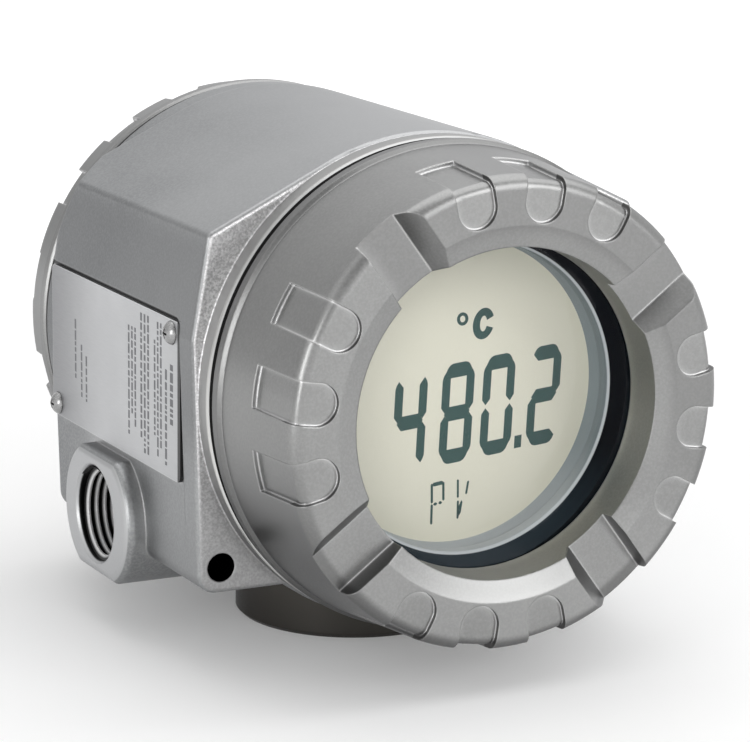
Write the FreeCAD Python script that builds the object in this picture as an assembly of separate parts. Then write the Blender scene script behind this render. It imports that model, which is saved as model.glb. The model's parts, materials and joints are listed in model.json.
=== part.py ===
"""Field temperature transmitter: a two-compartment cast housing with a display, in millimetres.

Every piece is drawn about the housing's axis, which runs along Y, with y = 0 at the joint of the
front cover and the front facing -Y. Each piece is then set down so that the middle of the bottom
boss's lower face is the origin.
"""
import FreeCAD
import Part
import math
import os

Vector = FreeCAD.Vector

# Housing: a body with flats between two turned flanges
BODY_R = 51.2
BODY_FRONT = 5.9
BODY_REAR = 84.4
FLANGE_R = 50.7
REAR_JOINT = 89.5
ROOF_SLOPE = 26.0
ROOF_CORNER_X = 48.5
ROOF_CORNER_ROUND = 1.6
SIDE_WIDEST_X = 52.1
SIDE_WIDEST_Z = 12.0
SIDE_FOOT_X = 50.4
UNDERSIDE_Z = -40.5
UNDERSIDE_ROUND = 4.0
BODY_FRONT_ROUND = 1.0
BODY_REAR_ROUND = 4.0
REAR_CONE = ((50.9, 88.2), (60.9, 70.3))
REAR_CONE_ROUND = 1.0

# Compartments on both sides of the partition
BORE_R = 45.0
BORE_DEPTH = 12.0
CAVITY_R = 44.0
PARTITION_FRONT = 21.0
PARTITION_REAR = 28.0

# Bottom boss, on which the housing stands
BOSS_R = 25.0
BOSS_Y = 38.5
BOSS_DROP = 57.5
BOSS_EDGE = 0.8

# Cable entries: one on each side and one through the bottom boss
ENTRY_R = 10.0
ENTRY_NECK_R = 8.2
ENTRY_LIP = 0.8
SIDE_ENTRY_X = 55.0
SIDE_ENTRY_Y = 50.3
SIDE_ENTRY_Z = -33.8
SIDE_ENTRY_DEPTH = 16.0
SIDE_BOSS_WIDTH = 35.5
SIDE_BOSS_HEIGHT = 26.5
SIDE_BOSS_FLAT = 18.8
SIDE_BOSS_EDGE = 2.0
BOTTOM_ENTRY_DEPTH = 12.0

# Tapped corner hole in the front web
CORNER_HOLE_X = -45.6
CORNER_HOLE_Z = -35.1
CORNER_HOLE_R = 3.0
CORNER_HOLE_DEPTH = 15.0

# Nameplate in its shallow pocket on the left flat
PLATE_Y = (13.0, 82.4)
PLATE_Z = (-18.8, 14.4)
PLATE_THICK = 0.8
PLATE_CORNER = 1.5
POCKET_X = -50.7
POCKET_MARGIN = 1.0
POCKET_CORNER = 3.0
POCKET_FOOT_Z = -34.0
DRIVE_SCREWS = ((17.4, 11.6), (79.4, -16.2))
DRIVE_HEAD_R = 2.5
DRIVE_HEAD_HEIGHT = 1.7
DRIVE_SHANK_R = 1.4
DRIVE_SHANK_LENGTH = 5.0

# What both screwed covers share: joint, rim, skirt and seal
SEAT_R = 48.6
RIM_SETBACK = 0.3
RIM_EDGE = 0.6
RIM_HEIGHT = 3.0
RIM_STEP = 0.8
FLANGE_CHAMFER = (0.8, 1.4)
SKIRT_R = 44.7
SKIRT_INNER_R = 40.8
SKIRT_LENGTH = 10.0
SKIRT_CHAMFER = 0.5
RING_SECTION_R = 1.2
RING_R = 43.4
RING_FROM_JOINT = 3.0
GROOVE_ROOM = 0.3

# Grip pattern of both covers: four channels, with three thumb recesses between each pair
CREST_ROUND = 2.9
LAND_INNER_R = 37.9
# A channel's walls, each by its distance from the middle line at the floor and at the face.
# The steep wall takes the push that unscrews the cover.
CHANNEL_STEEP = (5.2, 5.6)
CHANNEL_SLOPED = (4.6, 8.2)
RECESS_DEPTH = 1.0
RECESS_WIDTH = 8.6
RECESS_INNER_R = 38.4
RECESS_SPACING = 20.0
RECESSES_IN_GROUP = 3
GROUPS = 4
GROUP_SPACING = 360 / GROUPS
CUTTER_REACH = 60.0

# Front cover with its window
FRONT_HEIGHT = 31.5
FRONT_CREST_R = 47.9
FRONT_CHANNEL_DEPTH = 4.4
FRONT_RECESS_START = 15.5
FRONT_TURN = 36.5
WINDOW_R = 33.5
WINDOW_EDGE = 30.2
GLASS_FRONT = 20.6
GLASS_BACK = 10.6
GLASS_R = 36.2
GLASS_POCKET_R = 36.5
GASKET_THICK = 0.5
RETAINER_R = 38.5
RETAINER_INNER_R = 31.8
RETAINER_BACK = 7.2
RETAINER_EDGE = 0.6

# Blind rear cover
REAR_HEIGHT = 12.5
REAR_CREST_R = 49.5
REAR_CHANNEL_DEPTH = 2.9
REAR_RECESS_START = 4.6
REAR_TURN = 80.4
REAR_WELL_R = 35.0
REAR_PLATE = 5.0

# Display, from the front to the back
LCD_FACE = -3.6
LCD_VIEW_R = 31.4
LCD_R = 33.6
LCD_THICK = 2.6
CONTACT_THICK = 1.4
CONTACT_RING = 4.0
BOARD_THICK = 1.6
DISPLAY_BOARD_R = 33.8
CASE_BORE_R = 34.0
CASE_R = 36.4
CASE_FLOOR = 2.0
CASE_LEDGE = 2.6
CASE_FOOT_R = 39.2
CASE_FOOT_BACK = 9.5
BEZEL_FRONT = -6.4
BEZEL_LIP = 1.0
BEZEL_FLARE = 1.0

# Electronics below the display
CARRIER_BASE_R = 42.0
CARRIER_BASE = 2.5
CARRIER_R = 39.4
CARRIER_BORE_R = 37.4
MAIN_BOARD_R = 37.2
POTTING_R = 36.0
POTTING_THICK = 3.0
PLUG_WIDTH = 16.0
PLUG_HEIGHT = 5.0
SOCKET_HEIGHT = 2.4
MODULE_SCREW_PITCH_R = 29.0
MODULE_SCREW_ANGLES = (30, 150, 270)
MODULE_SCREW_R = 1.5
MODULE_SCREW_HEAD_R = 2.8
MODULE_SCREW_HEAD = 2.0
MODULE_SCREW_BITE = 4.0
SCREW_ROOM = 0.3
THREAD_ROOM = 0.05
LOCK_X = 17.0
LOCK_Z = -12.0
LOCK_SIZE = (9.0, 2.4, 5.0)
LOCK_SLOT = (5.0, 1.4, 2.1)
LOCK_KNOB = (2.4, 2.6, 2.0)
LOCK_ROOM = 0.05

# Feedthrough in the partition
FEED_R = 8.0
FEED_Z = 22.0
FEED_PROUD = 1.8
FEED_ROOM = 0.05
PIN_COUNT = 6
PIN_R = 0.5
PIN_PITCH_R = 4.6
PIN_PROUD = 1.6

# Terminals in the rear compartment
TERMINAL_BASE = (60.0, 47.0)
TERMINAL_BASE_THICK = 3.0
TERMINAL_BASE_Z = 9.5
TERMINAL_CAP_R = 10.5
TERMINAL_CAP = 6.0
TERMINAL_CAP_ROOM = 0.4
TERMINAL_CORNER = 6.0
TERMINAL_ROWS = (-2.0, 11.0)
TERMINAL_ROW_DEPTH = 10.0
TERMINAL_ROW_HEIGHT = 8.0
TERMINAL_ROW_WIDTH = 47.0
TERMINAL_COUNT = 4
TERMINAL_PITCH = 11.0
WELL_WIDTH = 8.0
WELL_DEPTH = 5.0
WIRE_HOLE_R = 1.9
CLAMP_SIZE = (7.0, 1.2, 6.4)
TERMINAL_SCREW_R = 1.5
TERMINAL_HEAD_R = 2.6
TERMINAL_HEAD = 1.8
TERMINAL_SHANK = 3.0
SLOT_WIDTH = 0.8
SLOT_DEPTH = 0.8
BLOCK_SCREW_X = 26.5
BLOCK_SCREW_Z = 25.0
BLOCK_SCREW_R = 1.7
BLOCK_HEAD_R = 3.0
BLOCK_HEAD = 2.2
BLOCK_SCREW_BITE = 5.0

# Internal earth terminal on the partition
EARTH_X = 22.0
EARTH_Z = -26.0
EARTH_CLAMP = (10.0, 2.0, 10.0)
EARTH_SCREW_R = 2.0
EARTH_HEAD_R = 3.8
EARTH_HEAD = 2.6
EARTH_BITE = 5.0

# Places along the axis that follow from the sizes above
LCD_BACK = LCD_FACE + LCD_THICK
CONTACT_BACK = LCD_BACK + CONTACT_THICK
DISPLAY_BOARD_BACK = CONTACT_BACK + BOARD_THICK
CASE_WALL_FRONT = LCD_FACE - BEZEL_LIP
CASE_FLOOR_FRONT = CASE_FOOT_BACK - CASE_FLOOR
CARRIER_FRONT = PARTITION_FRONT - CARRIER_BASE
MAIN_BOARD_BACK = CARRIER_FRONT - POTTING_THICK
MAIN_BOARD_FRONT = MAIN_BOARD_BACK - BOARD_THICK
SOCKET_FRONT = MAIN_BOARD_FRONT - SOCKET_HEIGHT
TERMINAL_BASE_BACK = PARTITION_REAR + TERMINAL_BASE_THICK
TERMINAL_BACK = TERMINAL_BASE_BACK + TERMINAL_ROW_HEIGHT
TERMINAL_CLAMP_BACK = TERMINAL_BACK - WELL_DEPTH + CLAMP_SIZE[1]
PINS_BACK = PARTITION_REAR + FEED_PROUD + PIN_PROUD

AXIS = Vector(0, 1, 0)
TOUCH = 0.01


def outline(start, *steps):
    """Closed face in the plane of (radius, y). A step is a point, or a pair that an arc runs through."""
    edges = []
    here = Vector(start[0], start[1], 0)
    last = steps[-1][-1] if isinstance(steps[-1][0], tuple) else steps[-1]
    closing = () if last == start else (start,)
    for step in steps + closing:
        if isinstance(step[0], tuple):
            middle = Vector(step[0][0], step[0][1], 0)
            end = Vector(step[1][0], step[1][1], 0)
            edges.append(Part.Arc(here, middle, end).toShape())
        else:
            end = Vector(step[0], step[1], 0)
            edges.append(Part.LineSegment(here, end).toShape())
        here = end
    return Part.Face(Part.Wire(edges))


def turned(start, *steps):
    """Solid of revolution about the housing's axis."""
    return outline(start, *steps).revolve(Vector(0, 0, 0), AXIS, 360)


def ring(r_inner, r_outer, y0, y1):
    return turned((r_inner, y0), (r_outer, y0), (r_outer, y1), (r_inner, y1))


def rod(r, x, z, y0, y1):
    """Cylinder along Y."""
    return Part.makeCylinder(r, y1 - y0, Vector(x, y0, z), AXIS)


def peg(r, y, z, x0, x1):
    """Cylinder along X."""
    return Part.makeCylinder(r, x1 - x0, Vector(x0, y, z), Vector(1, 0, 0))


def block(x, y, z):
    """Box between a low and a high value on each axis."""
    return Part.makeBox(x[1] - x[0], y[1] - y[0], z[1] - z[0], Vector(x[0], y[0], z[0]))


def about(middle, width):
    return middle - width / 2, middle + width / 2


def joined(shapes):
    return shapes[0].fuse(shapes[1:]).removeSplitter()


def edges_where(shape, test):
    """Edges of a shape whose end points all pass a test."""
    return [edge for edge in shape.Edges if all(test(vertex.Point) for vertex in edge.Vertexes)]


def near(value, target):
    return abs(value - target) < TOUCH


def polar(radius, degrees):
    angle = math.radians(degrees)
    return radius * math.cos(angle), radius * math.sin(angle)


def body_section():
    """Section of the housing's body: a round top and bottom with sloping shoulders and flat sides."""
    tangent_x, tangent_z = polar(BODY_R, 90 - ROOF_SLOPE)
    corner_z = tangent_z - (ROOF_CORNER_X - tangent_x) * math.tan(math.radians(ROOF_SLOPE))
    meet_x = math.sqrt(BODY_R ** 2 - UNDERSIDE_Z ** 2)
    right = [(tangent_x, tangent_z), (ROOF_CORNER_X, corner_z), (SIDE_WIDEST_X, SIDE_WIDEST_Z),
             (SIDE_FOOT_X, UNDERSIDE_Z), (meet_x, UNDERSIDE_Z)]
    left = [(-x, z) for x, z in reversed(right)]
    edges = []
    for x, z, crown in ((tangent_x, tangent_z, BODY_R), (meet_x, UNDERSIDE_Z, -BODY_R)):
        arc = Part.Arc(Vector(-x, 0, z), Vector(0, 0, crown), Vector(x, 0, z))
        edges.append(arc.toShape())
    for side in (right, left):
        for (x0, z0), (x1, z1) in zip(side, side[1:]):
            edges.append(Part.LineSegment(Vector(x0, 0, z0), Vector(x1, 0, z1)).toShape())
    return Part.Face(Part.Wire(Part.__sortEdges__(edges))), corner_z


def around_rear_cone():
    """Space outside the cone to which the upper rear corners of the body are cut."""
    (r0, y0), (r1, y1) = REAR_CONE
    space = turned((r0, y0), (r1, y1), (r1, y0))
    return space.common(block((-r1, r1), (y1, y0), (0, r1)))


def on_rear_cone(point):
    (r0, y0), (r1, y1) = REAR_CONE
    cone_r = r0 + (r1 - r0) * (point.y - y0) / (y1 - y0)
    return point.y > y1 and near(math.hypot(point.x, point.z), cone_r)


def housing_body():
    section, corner_z = body_section()
    section.translate(Vector(0, BODY_FRONT, 0))
    body = section.extrude(Vector(0, BODY_REAR - BODY_FRONT, 0))
    shoulders = edges_where(body, lambda p: near(abs(p.x), ROOF_CORNER_X) and near(p.z, corner_z))
    body = body.makeFillet(ROOF_CORNER_ROUND, shoulders)
    feet = edges_where(body, lambda p: near(abs(p.x), SIDE_FOOT_X) and near(p.z, UNDERSIDE_Z))
    body = body.makeFillet(UNDERSIDE_ROUND, feet)
    body = body.makeFillet(BODY_REAR_ROUND, edges_where(body, lambda p: near(p.y, BODY_REAR)))
    body = body.cut(around_rear_cone())
    body = body.makeFillet(REAR_CONE_ROUND, edges_where(body, on_rear_cone))
    return body.makeFillet(BODY_FRONT_ROUND, edges_where(body, lambda p: near(p.y, BODY_FRONT)))


def side_boss_bar():
    """One bar of the entry bosses' section, right across the housing."""
    half = SIDE_BOSS_HEIGHT / 2
    flat = SIDE_BOSS_FLAT / 2
    end = SIDE_BOSS_WIDTH / 2
    face = outline((-flat, -half), (flat, -half), ((end, 0), (flat, half)),
                   (-flat, half), ((-end, 0), (-flat, -half)))
    face.rotate(Vector(0, 0, 0), Vector(1, 1, 1), 120)
    face.translate(Vector(-SIDE_ENTRY_X, SIDE_ENTRY_Y, SIDE_ENTRY_Z))
    bar = face.extrude(Vector(2 * SIDE_ENTRY_X, 0, 0))
    return bar.makeFillet(SIDE_BOSS_EDGE, edges_where(bar, lambda p: near(abs(p.x), SIDE_ENTRY_X)))


def bottom_boss():
    boss = Part.makeCylinder(BOSS_R, BOSS_DROP - CAVITY_R, Vector(0, BOSS_Y, -BOSS_DROP))
    rim = [edge for edge in boss.Edges if near(edge.CenterOfMass.z, -BOSS_DROP)]
    return boss.makeChamfer(BOSS_EDGE, rim)


def flange(joint, inward):
    """Blank of a turned flange with a chamfered outer edge, set back from the cover's rim."""
    face = joint + inward * RIM_SETBACK
    chamfer_r, chamfer_y = FLANGE_CHAMFER
    root = joint + inward * 2 * BODY_FRONT
    return turned((0, joint), (SEAT_R, joint), (SEAT_R, face), (FLANGE_R - chamfer_r, face),
                  (FLANGE_R, face + inward * chamfer_y), (FLANGE_R, root), (0, root))


def entry_cut(depth):
    """Stepped hole along +Z with its mouth at z = 0: the tapped length and a neck."""
    tapped = Part.makeCylinder(ENTRY_R, depth)
    neck = Part.makeCylinder(ENTRY_NECK_R, 2 * depth)
    return joined([tapped, neck])


def side_entry_cuts():
    cuts = []
    for side in (-1, 1):
        lip = Part.makeCone(ENTRY_R + ENTRY_LIP, ENTRY_R, ENTRY_LIP)
        cut = joined([entry_cut(SIDE_ENTRY_DEPTH), lip])
        cut.rotate(Vector(0, 0, 0), AXIS, -90 * side)
        cut.translate(Vector(side * SIDE_ENTRY_X, SIDE_ENTRY_Y, SIDE_ENTRY_Z))
        cuts.append(cut)
    return cuts


def plate_pocket():
    """Shallow pocket whose floor runs out of the drafted flat below the nameplate."""
    front = PLATE_Y[0] - POCKET_MARGIN
    top = PLATE_Z[1] + POCKET_MARGIN
    cut = block((POCKET_X - SIDE_WIDEST_X, POCKET_X), (front, REAR_JOINT), (POCKET_FOOT_Z, top))
    corner = edges_where(cut, lambda p: near(p.y, front) and near(p.z, top))
    return cut.makeFillet(POCKET_CORNER, corner)


def module_screw_places():
    return [polar(MODULE_SCREW_PITCH_R, degrees) for degrees in MODULE_SCREW_ANGLES]


def block_screw_places():
    return [(-BLOCK_SCREW_X, BLOCK_SCREW_Z), (BLOCK_SCREW_X, BLOCK_SCREW_Z)]


def housing_holes():
    bottom_entry = entry_cut(BOTTOM_ENTRY_DEPTH)
    bottom_entry.translate(Vector(0, BOSS_Y, -BOSS_DROP))
    corner_end = BODY_FRONT + CORNER_HOLE_DEPTH
    corner = rod(CORNER_HOLE_R, CORNER_HOLE_X, CORNER_HOLE_Z, BODY_FRONT, corner_end)
    feed = rod(FEED_R, 0, FEED_Z, PARTITION_FRONT, PARTITION_REAR)
    holes = [bottom_entry, corner, feed] + side_entry_cuts()
    module_end = PARTITION_FRONT + MODULE_SCREW_BITE
    for x, z in module_screw_places():
        holes.append(rod(MODULE_SCREW_R + THREAD_ROOM, x, z, PARTITION_FRONT, module_end))
    block_end = PARTITION_REAR - BLOCK_SCREW_BITE
    for x, z in block_screw_places():
        holes.append(rod(BLOCK_SCREW_R + THREAD_ROOM, x, z, block_end, PARTITION_REAR))
    earth_end = PARTITION_REAR - EARTH_BITE
    holes.append(rod(EARTH_SCREW_R + THREAD_ROOM, EARTH_X, EARTH_Z, earth_end, PARTITION_REAR))
    for y, z in DRIVE_SCREWS:
        holes.append(peg(DRIVE_SHANK_R, y, z, POCKET_X, POCKET_X + DRIVE_SHANK_LENGTH))
    return holes


def housing():
    rear_bore = REAR_JOINT - BORE_DEPTH
    body = housing_body().cut(plate_pocket())
    solid = joined([body, side_boss_bar(), bottom_boss(), flange(0, 1), flange(REAR_JOINT, -1)])
    compartments = []
    ends = ((0, BORE_DEPTH, PARTITION_FRONT), (REAR_JOINT, rear_bore, PARTITION_REAR))
    for joint, bore_end, floor in ends:
        space = turned((0, joint), (BORE_R, joint), (BORE_R, bore_end), (CAVITY_R, bore_end),
                       (CAVITY_R, floor), (0, floor))
        compartments.append(space)
    return solid.cut(compartments).cut(housing_holes())


def grip_cutters(joint, out, height, crest_r, channel_depth, recess_start, turn):
    """Channels and thumb recesses of a cover that stands out from its joint along out times Y."""
    face = joint + out * height
    beyond = face + out * CREST_ROUND
    floor = face - out * channel_depth
    rise = 1 + CREST_ROUND / channel_depth
    steep, sloped = [low + (high - low) * rise for low, high in (CHANNEL_STEEP, CHANNEL_SLOPED)]
    corners = [(floor, -CHANNEL_SLOPED[0]), (floor, CHANNEL_STEEP[0]), (beyond, steep), (beyond, -sloped)]
    inner_r = WINDOW_R / 2
    outline = [Vector(inner_r, y, -out * z) for y, z in corners]
    section = Part.Face(Part.makePolygon(outline + outline[:1]))
    channel = section.extrude(Vector(CUTTER_REACH, 0, 0))

    start = joint + out * recess_start
    side_start_r = side_radius(height, crest_r, recess_start)
    round_y = face - out * CREST_ROUND
    round_r = crest_r - CREST_ROUND
    inner_round = CREST_ROUND - RECESS_DEPTH
    diagonal = inner_round * math.sqrt(0.5)
    recess_face = face - out * RECESS_DEPTH
    skin = turned((CUTTER_REACH, start), (side_start_r - RECESS_DEPTH, start),
                  (crest_r - RECESS_DEPTH, round_y),
                  ((round_r + diagonal, round_y + out * diagonal), (round_r, recess_face)),
                  (WINDOW_R, recess_face), (WINDOW_R, beyond), (CUTTER_REACH, beyond))
    radius = RECESS_WIDTH / 2
    centre = RECESS_INNER_R + radius
    low, high = sorted((start, beyond))
    tip = rod(radius, centre, 0, low, high)
    finger = tip.fuse(block((centre, CUTTER_REACH), (low, high), (-radius, radius)))
    recess = skin.common(finger)

    cutters = []
    for group in range(GROUPS):
        angle = turn + GROUP_SPACING * group
        cutters.append(channel.rotated(Vector(0, 0, 0), AXIS, -angle))
        first = angle + GROUP_SPACING / 2 - RECESS_SPACING * (RECESSES_IN_GROUP - 1) / 2
        for number in range(RECESSES_IN_GROUP):
            place = first + RECESS_SPACING * number
            cutters.append(recess.rotated(Vector(0, 0, 0), AXIS, -place))
    return cutters


def skirt_outline(joint, out):
    """Points of a cover's skirt from its inner end to the outer edge of its rim."""
    end = joint - out * SKIRT_LENGTH
    groove = [joint - out * (RING_FROM_JOINT + side * (RING_SECTION_R + GROOVE_ROOM)) for side in (1, -1)]
    groove_r = RING_R - RING_SECTION_R - GROOVE_ROOM
    rim = joint + out * RIM_SETBACK
    return [(SKIRT_INNER_R, end), (SKIRT_R - SKIRT_CHAMFER, end), (SKIRT_R, end + out * SKIRT_CHAMFER),
            (SKIRT_R, groove[0]), (groove_r, groove[0]), (groove_r, groove[1]), (SKIRT_R, groove[1]),
            (SKIRT_R, joint), (SEAT_R, joint), (SEAT_R, rim), (FLANGE_R - RIM_EDGE, rim),
            (FLANGE_R, rim + out * RIM_EDGE), (FLANGE_R, joint + out * RIM_HEIGHT),
            (FLANGE_R - RIM_STEP, joint + out * (RIM_HEIGHT + RIM_STEP))]


def crest_outline(joint, out, height, crest_r):
    """Side, rounded crest and flat land of a cover."""
    face = joint + out * height
    round_r = crest_r - CREST_ROUND
    round_y = face - out * CREST_ROUND
    diagonal = CREST_ROUND * math.sqrt(0.5)
    return [(crest_r, round_y), ((round_r + diagonal, round_y + out * diagonal), (round_r, face)),
            (LAND_INNER_R, face)]


def side_radius(height, crest_r, at):
    """Radius of a cover's tapered side at a distance from its joint."""
    low = RIM_HEIGHT + RIM_STEP
    high = height - CREST_ROUND
    low_r = FLANGE_R - RIM_STEP
    return low_r + (crest_r - low_r) * (at - low) / (high - low)


def front_cover():
    inside = [(WINDOW_R, -WINDOW_EDGE), (WINDOW_R, -GLASS_FRONT), (GLASS_POCKET_R, -GLASS_FRONT),
              (GLASS_POCKET_R, -GLASS_BACK), (RETAINER_R, -GLASS_BACK), (RETAINER_R, -RETAINER_BACK),
              (SKIRT_INNER_R, -RETAINER_BACK)]
    points = skirt_outline(0, -1) + crest_outline(0, -1, FRONT_HEIGHT, FRONT_CREST_R) + inside
    cutters = grip_cutters(0, -1, FRONT_HEIGHT, FRONT_CREST_R, FRONT_CHANNEL_DEPTH, FRONT_RECESS_START,
                           FRONT_TURN)
    return turned(*points).cut(cutters)


def rear_cover():
    face = REAR_JOINT + REAR_HEIGHT
    well = face - REAR_CHANNEL_DEPTH
    inside = [(REAR_WELL_R, well), (0, well), (0, well - REAR_PLATE), (SKIRT_INNER_R, well - REAR_PLATE)]
    points = skirt_outline(REAR_JOINT, 1) + crest_outline(REAR_JOINT, 1, REAR_HEIGHT, REAR_CREST_R) + inside
    cutters = grip_cutters(REAR_JOINT, 1, REAR_HEIGHT, REAR_CREST_R, REAR_CHANNEL_DEPTH, REAR_RECESS_START,
                           REAR_TURN)
    return turned(*points).cut(cutters)


def cover_o_ring(joint, out):
    return Part.makeTorus(RING_R, RING_SECTION_R, Vector(0, joint - out * RING_FROM_JOINT, 0), AXIS)


def window_glass():
    return ring(0, GLASS_R, GASKET_THICK - GLASS_FRONT, -GLASS_BACK)


def window_seal():
    inner = GASKET_THICK - GLASS_FRONT
    return turned((WINDOW_R, -GLASS_FRONT), (GLASS_POCKET_R, -GLASS_FRONT), (GLASS_POCKET_R, -GLASS_BACK),
                  (GLASS_R, -GLASS_BACK), (GLASS_R, inner), (WINDOW_R, inner))


def window_retainer():
    return turned((RETAINER_INNER_R + RETAINER_EDGE, -GLASS_BACK), (RETAINER_R, -GLASS_BACK),
                  (RETAINER_R, -RETAINER_BACK), (RETAINER_INNER_R, -RETAINER_BACK),
                  (RETAINER_INNER_R, RETAINER_EDGE - GLASS_BACK))


def display_bezel():
    return turned((LCD_VIEW_R, LCD_FACE), (LCD_R, LCD_FACE), (LCD_R, CASE_WALL_FRONT),
                  (CASE_R, CASE_WALL_FRONT), (CASE_R, BEZEL_FRONT), (LCD_VIEW_R + BEZEL_FLARE, BEZEL_FRONT))


def lcd_panel():
    return ring(0, LCD_R, LCD_FACE, LCD_BACK)


def display_contact_frame():
    return ring(LCD_R - CONTACT_RING, LCD_R, LCD_BACK, CONTACT_BACK)


def display_board():
    return ring(0, DISPLAY_BOARD_R, CONTACT_BACK, DISPLAY_BOARD_BACK)


def plug_block(y0, y1):
    return block(about(0, PLUG_WIDTH), (y0, y1), about(0, PLUG_HEIGHT))


def display_case():
    """Round cup with a ledge for the board and a foot that stands on the electronics carrier."""
    cup = turned((0, CASE_FLOOR_FRONT), (CASE_BORE_R - CASE_LEDGE, CASE_FLOOR_FRONT),
                 (CASE_BORE_R - CASE_LEDGE, DISPLAY_BOARD_BACK), (CASE_BORE_R, DISPLAY_BOARD_BACK),
                 (CASE_BORE_R, CASE_WALL_FRONT), (CASE_R, CASE_WALL_FRONT), (CASE_R, CASE_FLOOR_FRONT),
                 (CASE_FOOT_R, CASE_FLOOR_FRONT), (CASE_FOOT_R, CASE_FOOT_BACK), (0, CASE_FOOT_BACK))
    return cup.cut(plug_block(CASE_FLOOR_FRONT, CASE_FOOT_BACK))


def display_plug():
    return plug_block(DISPLAY_BOARD_BACK, SOCKET_FRONT)


def board_socket():
    return plug_block(SOCKET_FRONT, MAIN_BOARD_FRONT)


def with_module_screw_holes(shape, y0, y1):
    return shape.cut([rod(MODULE_SCREW_R + SCREW_ROOM, x, z, y0, y1) for x, z in module_screw_places()])


def electronics_carrier():
    cup = turned((0, CARRIER_FRONT), (POTTING_R, CARRIER_FRONT), (POTTING_R, MAIN_BOARD_BACK),
                 (CARRIER_BORE_R, MAIN_BOARD_BACK), (CARRIER_BORE_R, CASE_FOOT_BACK),
                 (CARRIER_R, CASE_FOOT_BACK), (CARRIER_R, CARRIER_FRONT), (CARRIER_BASE_R, CARRIER_FRONT),
                 (CARRIER_BASE_R, PARTITION_FRONT), (0, PARTITION_FRONT))
    cup = cup.cut(rod(FEED_R + SCREW_ROOM, 0, FEED_Z, CARRIER_FRONT, PARTITION_FRONT))
    return with_module_screw_holes(cup, CARRIER_FRONT, PARTITION_FRONT)


def main_board():
    board = ring(0, MAIN_BOARD_R, MAIN_BOARD_FRONT, MAIN_BOARD_BACK)
    return with_module_screw_holes(board, MAIN_BOARD_FRONT, MAIN_BOARD_BACK)


def potted_electronics():
    disc = ring(0, POTTING_R, MAIN_BOARD_BACK, CARRIER_FRONT)
    return with_module_screw_holes(disc, MAIN_BOARD_BACK, CARRIER_FRONT)


def screw(shank_r, head_r, head, y_seat, length, into):
    """Slotted cheese-head screw on the axis: its head's seat at y_seat, its shank along into times Y."""
    top = y_seat - into * head
    tip = y_seat + into * length
    solid = turned((0, top), (head_r, top), (head_r, y_seat), (shank_r, y_seat), (shank_r, tip), (0, tip))
    slot_y = sorted((top, top + into * SLOT_DEPTH))
    return solid.cut(block((-head_r, head_r), slot_y, about(0, SLOT_WIDTH)))


def at(shape, x, z):
    return shape.translated(Vector(x, 0, z))


def module_screws():
    length = PARTITION_FRONT + MODULE_SCREW_BITE - MAIN_BOARD_FRONT
    one = screw(MODULE_SCREW_R, MODULE_SCREW_HEAD_R, MODULE_SCREW_HEAD, MAIN_BOARD_FRONT, length, 1)
    return Part.makeCompound([at(one, x, z) for x, z in module_screw_places()])


def lock_slot():
    width, depth, height = LOCK_SLOT
    front = MAIN_BOARD_FRONT - LOCK_SIZE[1]
    return block(about(LOCK_X, width), (front, front + depth), about(LOCK_Z, height))


def lock_switch_body():
    width, depth, height = LOCK_SIZE
    y = (MAIN_BOARD_FRONT - depth, MAIN_BOARD_FRONT)
    return block(about(LOCK_X, width), y, about(LOCK_Z, height)).cut(lock_slot())


def lock_switch_slider():
    """Slider at the left end of its slot."""
    width, depth, height = LOCK_KNOB
    left = LOCK_X - LOCK_SLOT[0] / 2 + LOCK_ROOM
    floor = MAIN_BOARD_FRONT - LOCK_SIZE[1] + LOCK_SLOT[1] - LOCK_ROOM
    return block((left, left + width), (floor - depth, floor), about(LOCK_Z, height))


def pins():
    """Pins in a circle, each standing out of both ends of the bush."""
    places = [polar(PIN_PITCH_R, 360 * number / PIN_COUNT) for number in range(PIN_COUNT)]
    return [rod(PIN_R, x, FEED_Z + z, PARTITION_FRONT - PIN_PROUD, PINS_BACK) for x, z in places]


def feedthrough():
    bush = rod(FEED_R - FEED_ROOM, 0, FEED_Z, PARTITION_FRONT, PARTITION_REAR + FEED_PROUD)
    return bush.cut(pins())


def feedthrough_pins():
    return Part.makeCompound(pins())


def terminal_places():
    """Middle of each terminal well."""
    first = -TERMINAL_PITCH * (TERMINAL_COUNT - 1) / 2
    return [(first + TERMINAL_PITCH * number, z) for z in TERMINAL_ROWS for number in range(TERMINAL_COUNT)]


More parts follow.
